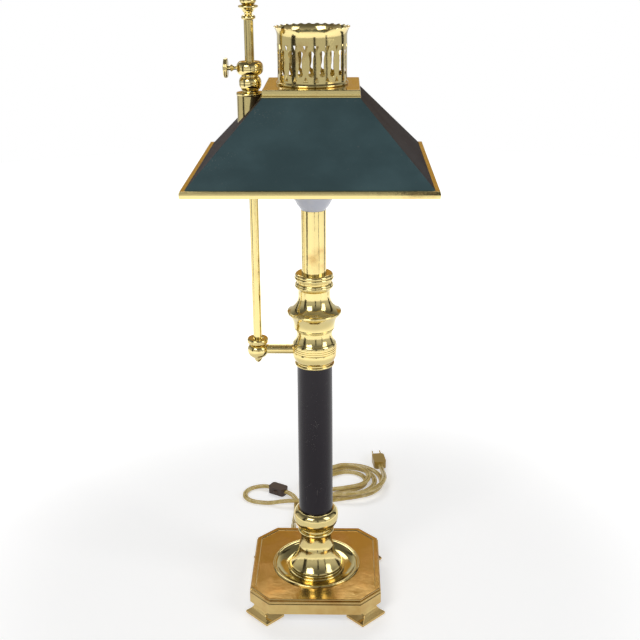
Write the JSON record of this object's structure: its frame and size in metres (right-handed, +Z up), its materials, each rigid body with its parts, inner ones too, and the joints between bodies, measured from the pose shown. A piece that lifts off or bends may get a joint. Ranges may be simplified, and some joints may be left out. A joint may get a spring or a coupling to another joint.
{
  "type": "bouillotte table lamp",
  "caption": "Brass bouillotte table lamp with a black column on a footed octagonal base and a square metal shade that slides and turns on a side rod.",
  "frame": {"origin": "on the column's axis, on the surface the lamp stands on", "axes": "+Z up along the column, -Y to the front seen in the picture, the guide rod on the -X side"},
  "size_m": [0.272, 0.5041, 0.7831],
  "materials": {
    "brass": "polished",
    "steel": "zinc plated",
    "iron": "rough",
    "black_tube": "gloss black",
    "holder_plastic": "matt",
    "bulb_plastic": "satin white",
    "bulb_insulator": "smooth",
    "board": "white lacquer",
    "shade_paint": "satin, very dark green",
    "cord": "translucent gold",
    "dark_plastic": "smooth dark brown"
  },
  "bodies": {
    "stand": {"arm_nut": "brass", "base_cover": "steel", "base_dish": "brass", "base_nut": "steel", "base_shell": "brass", "base_washer": "steel", "base_weight": "iron", "bulb_body": "bulb_plastic", "bulb_cap": "steel", "bulb_dome": "bulb_plastic", "bulb_tip": "bulb_insulator", "candle_cup": "brass", "candle_tube": "brass", "centre_contact": "brass", "collar_body": "brass", "column_cup": "brass", "column_nut": "steel", "column_tube": "black_tube", "cord_bush": "cord", "cord_hank": "cord", "cord_lead": "cord", "cord_loop": "cord", "foot_back_left": "brass", "foot_back_right": "brass", "foot_front_left": "brass", "foot_front_right": "brass", "foot_screws": "steel", "guide_rod": "brass", "inner_wire": "cord", "lampholder": "holder_plastic", "led_board": "board", "plinth_ring": "brass", "plug_blades": "brass", "plug_body": "dark_plastic", "rod_ball": "brass", "rod_finial": "brass", "rod_tip": "brass", "screw_shell": "brass", "side_arm": "brass", "switch_base": "dark_plastic", "switch_cover": "dark_plastic", "switch_pin": "steel", "tie_rod": "steel", "trumpet": "brass"},
    "carriage": {"clamp_head": "brass", "swivel_ring": "brass"},
    "shade": {"sleeve_tube": "brass", "sleeve_bush_top": "brass", "sleeve_bush_bottom": "brass", "shade_bracket": "brass", "panel_front": "shade_paint", "panel_back": "shade_paint", "panel_left": "shade_paint", "panel_right": "shade_paint", "shade_rim": "brass", "top_plate": "brass", "gallery": "brass"},
    "screw": {"thumbscrew": "brass"},
    "wheel": {"switch_wheel": "dark_plastic"}
  },
  "joints": [
    {"name": "shade_height", "type": "slide", "parent": "stand", "child": "carriage", "axis": [0, 0, 1], "range_m": [-0.045, 0.04]},
    {"name": "shade_turn", "type": "hinge", "parent": "carriage", "child": "shade", "pos_m": [-0.0701, 0, 0.63], "axis": [0, 0, 1], "range_deg": [-45, 45]},
    {"name": "thumbscrew_turn", "type": "hinge", "parent": "carriage", "child": "screw", "pos_m": [-0.0951, 0, 0.6879], "axis": [-1, 0, 0], "range_deg": [-180, 180]},
    {"name": "switch_turn", "type": "hinge", "parent": "stand", "child": "wheel", "pos_m": [-0.06852, 0.23998, 0.006], "axis": [0, 0, 1], "continuous": true}
  ]
}
